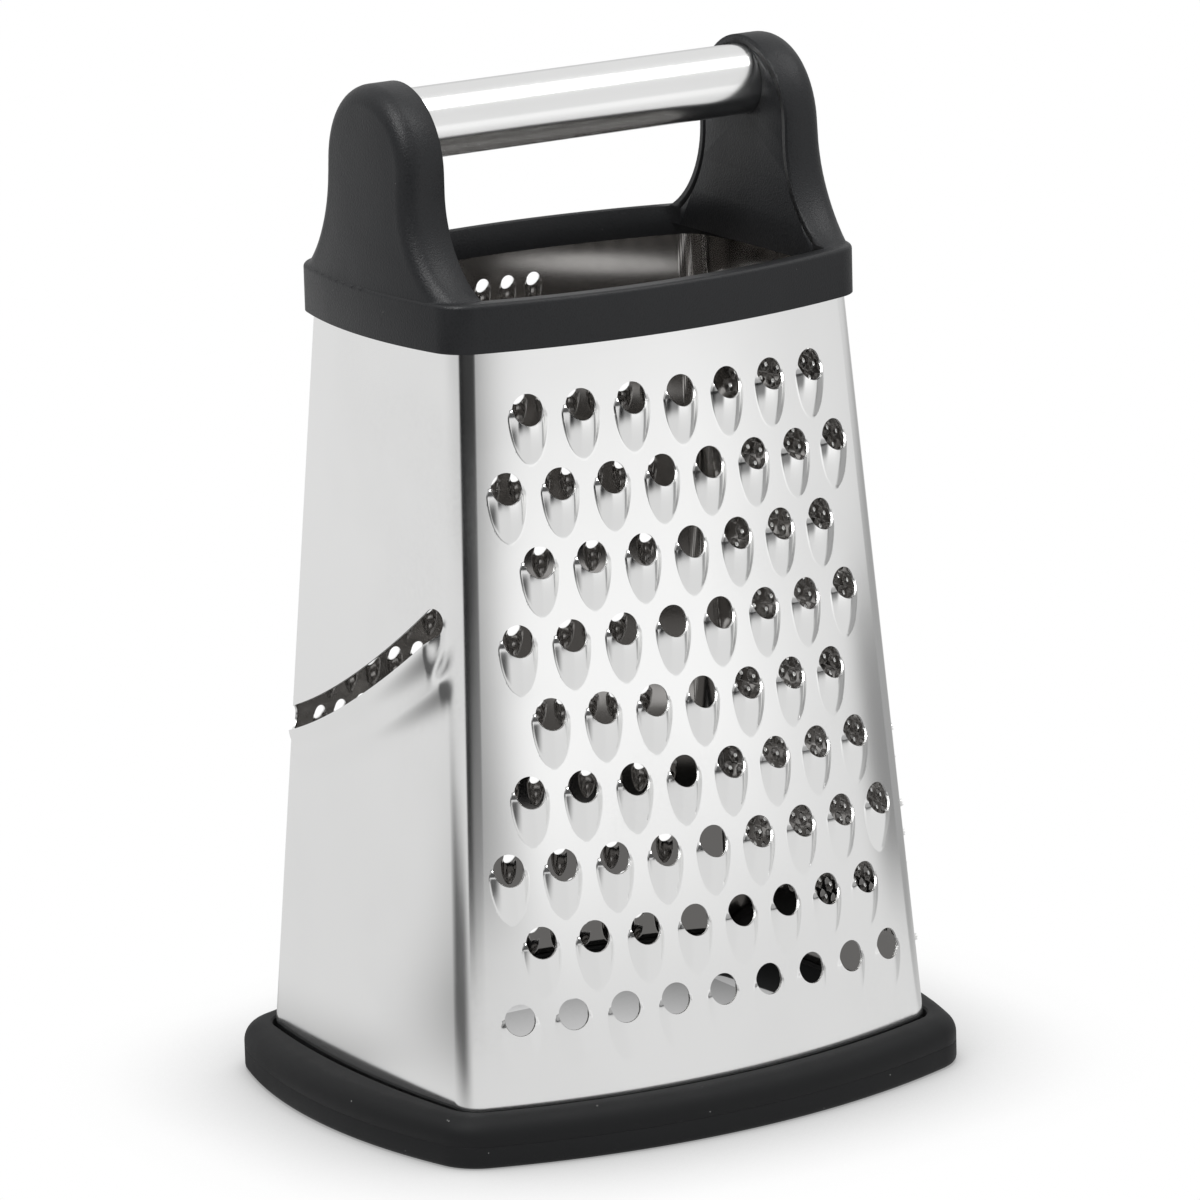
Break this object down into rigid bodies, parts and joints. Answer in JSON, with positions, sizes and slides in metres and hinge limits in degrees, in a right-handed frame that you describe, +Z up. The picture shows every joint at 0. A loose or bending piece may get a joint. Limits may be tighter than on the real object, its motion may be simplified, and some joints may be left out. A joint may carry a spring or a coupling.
{
  "type": "box grater",
  "caption": "Four-sided box grater: tapered polished steel body with coarse, medium, slicing and zesting faces, black top frame with a tube handle, and a black rubber base ring.",
  "frame": {"origin": "on the surface it stands on, under the middle of the base ring", "axes": "+Z up; the coarse face looks along -Y, the medium face along +Y, the slicing face along -X, the zesting face along +X"},
  "size_m": [0.163, 0.1356, 0.253],
  "materials": {
    "polished_steel": "mirror-polished stainless sheet",
    "black_plastic": "satin moulding with a fine grain",
    "black_rubber": "matte moulding with a parting line"
  },
  "bodies": {
    "root": {"coarse_grating_panel": "polished_steel", "medium_grating_panel": "polished_steel", "slicing_panel": "polished_steel", "zesting_panel": "polished_steel", "top_frame": "black_plastic", "left_upright_cover": "black_plastic", "right_upright_cover": "black_plastic", "handle_tube": "polished_steel", "base_ring": "black_rubber"}
  },
  "joints": []
}
